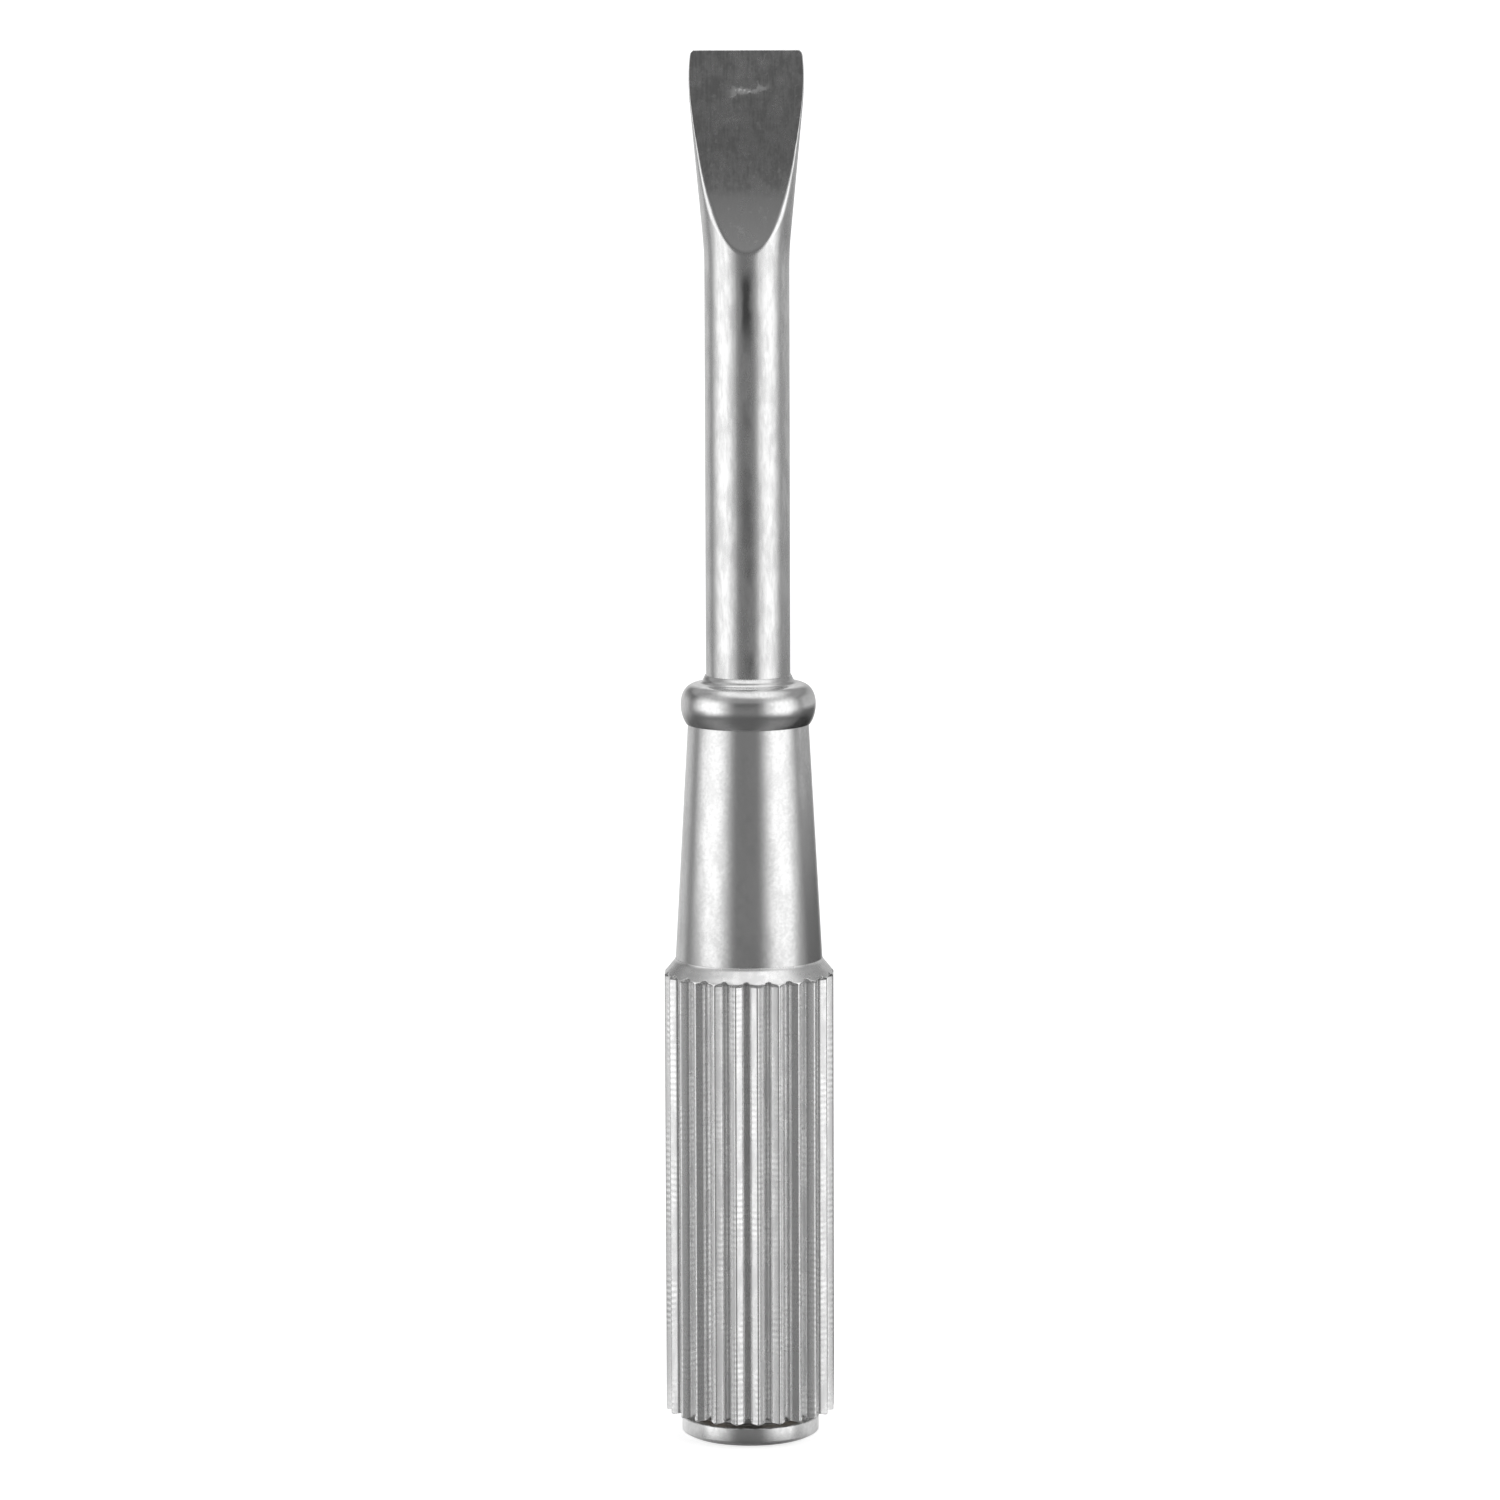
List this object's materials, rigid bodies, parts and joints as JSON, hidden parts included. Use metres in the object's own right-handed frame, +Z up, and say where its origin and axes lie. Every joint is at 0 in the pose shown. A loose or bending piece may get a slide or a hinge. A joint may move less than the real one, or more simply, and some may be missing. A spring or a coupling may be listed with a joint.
{
  "type": "metal spudger",
  "caption": "Slim metal spudger with a ground flat pry blade on a round shank, a beaded taper neck, a fluted grip and a swivelling end cap.",
  "frame": {"origin": "middle of the flat butt face of the end cap, at the lowest point", "axes": "+Z up along the tool's long axis from butt to blade tip; the blade is wide along X and its ground faces look along -Y and +Y"},
  "size_m": [0.01, 0.01, 0.0825],
  "materials": {
    "blade_steel": "ground and satin",
    "plated_steel": "satin plated",
    "grip_metal": "turned and fluted, plated",
    "bushing_brass": "turned",
    "spring_steel": "plain"
  },
  "bodies": {
    "handle": {"blade_shank": "blade_steel", "collar_bead": "plated_steel", "neck_ferrule": "plated_steel", "grip_sleeve": "grip_metal", "end_bushing": "bushing_brass", "thrust_washer": "spring_steel"},
    "cap": {"end_cap": "plated_steel", "stem_clip": "spring_steel"}
  },
  "joints": [
    {"name": "cap_swivel", "type": "hinge", "parent": "handle", "child": "cap", "pos_m": [0, 0, 0.00113], "axis": [0, 0, 1], "continuous": true}
  ]
}
